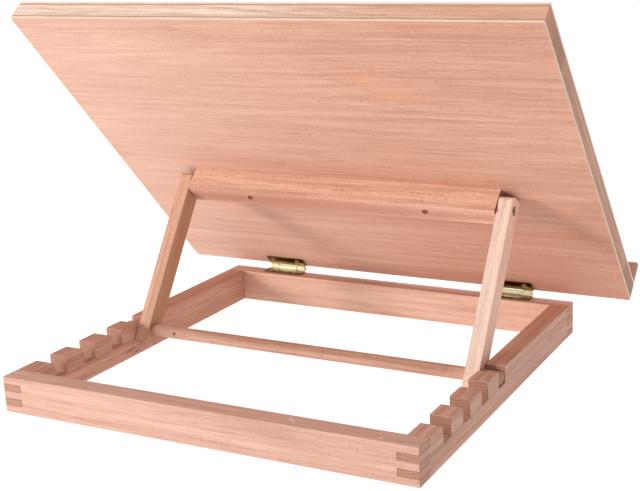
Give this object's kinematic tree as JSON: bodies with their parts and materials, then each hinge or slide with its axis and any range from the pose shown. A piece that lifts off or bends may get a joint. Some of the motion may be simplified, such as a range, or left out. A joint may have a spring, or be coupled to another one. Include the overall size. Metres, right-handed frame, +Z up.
{
  "type": "tabletop easel",
  "caption": "Folding wooden tabletop easel: box frame with notched side rails, hinged drawing board with a bottom ledge, and a swinging strut with a dowel crossbar.",
  "frame": {"origin": "on the standing surface, under the middle of the whole object's box", "axes": "+X to the right of a person at the board, +Y from the drawing side to the back, +Z up"},
  "size_m": [0.42, 0.328, 0.2819],
  "materials": {
    "beech": "planed beech with fine flecks, clear satin oil",
    "beech_back_rail": "paler planed beech, clear satin oil",
    "beech_batten": "planed beech, warmer, clear satin oil",
    "beech_leg": "planed beech, clear satin oil",
    "beech_ledge": "planed beech, rounded edge, clear satin oil",
    "dowel": "turned beech dowel, sanded",
    "plywood": "rotary-cut beech plywood face, satin",
    "core_wood": "sanded softwood core, matt",
    "hinge_brass": "brass-plated steel, lightly brushed",
    "hinge_steel": "drawn steel pin",
    "screw_zinc": "zinc-plated screw",
    "screw_brass": "brass-plated pan-head screw"
  },
  "bodies": {
    "base": {"base_front_rail": "beech", "base_back_rail": "beech_back_rail", "base_left_rail": "beech", "base_right_rail": "beech", "hinge_left_base_leaf": "hinge_brass", "hinge_left_pin": "hinge_steel", "hinge_left_base_screw_1": "screw_zinc", "hinge_left_base_screw_2": "screw_zinc", "hinge_right_base_leaf": "hinge_brass", "hinge_right_pin": "hinge_steel", "hinge_right_base_screw_1": "screw_zinc", "hinge_right_base_screw_2": "screw_zinc"},
    "board": {"board_back_skin": "plywood", "board_front_skin": "plywood", "board_core_bottom_rail": "core_wood", "board_core_top_rail": "core_wood", "board_core_left_stile": "core_wood", "board_core_right_stile": "core_wood", "board_core_mid_rail": "core_wood", "ledge": "beech_ledge", "batten": "beech_batten", "batten_screw_1": "screw_zinc", "batten_screw_2": "screw_zinc", "pivot_screw_left": "screw_brass", "pivot_screw_right": "screw_brass", "hinge_left_board_leaf": "hinge_brass", "hinge_left_board_screw_1": "screw_zinc", "hinge_left_board_screw_2": "screw_zinc", "hinge_right_board_leaf": "hinge_brass", "hinge_right_board_screw_1": "screw_zinc", "hinge_right_board_screw_2": "screw_zinc"},
    "strut": {"left_leg": "beech_leg", "right_leg": "beech_leg", "crossbar": "dowel"}
  },
  "joints": [
    {"name": "board_tilt", "type": "hinge", "parent": "base", "child": "board", "pos_m": [0, -0.13903, 0.029], "axis": [1, 0, 0], "range_deg": [0, 95]},
    {"name": "strut_swing", "type": "hinge", "parent": "board", "child": "strut", "pos_m": [0, -0.04248, 0.12346], "axis": [1, 0, 0], "range_deg": [0, 38]}
  ],
  "couplings": [
    {"joint": "strut_swing", "follows": "board_tilt", "ratio": 0.4}
  ]
}
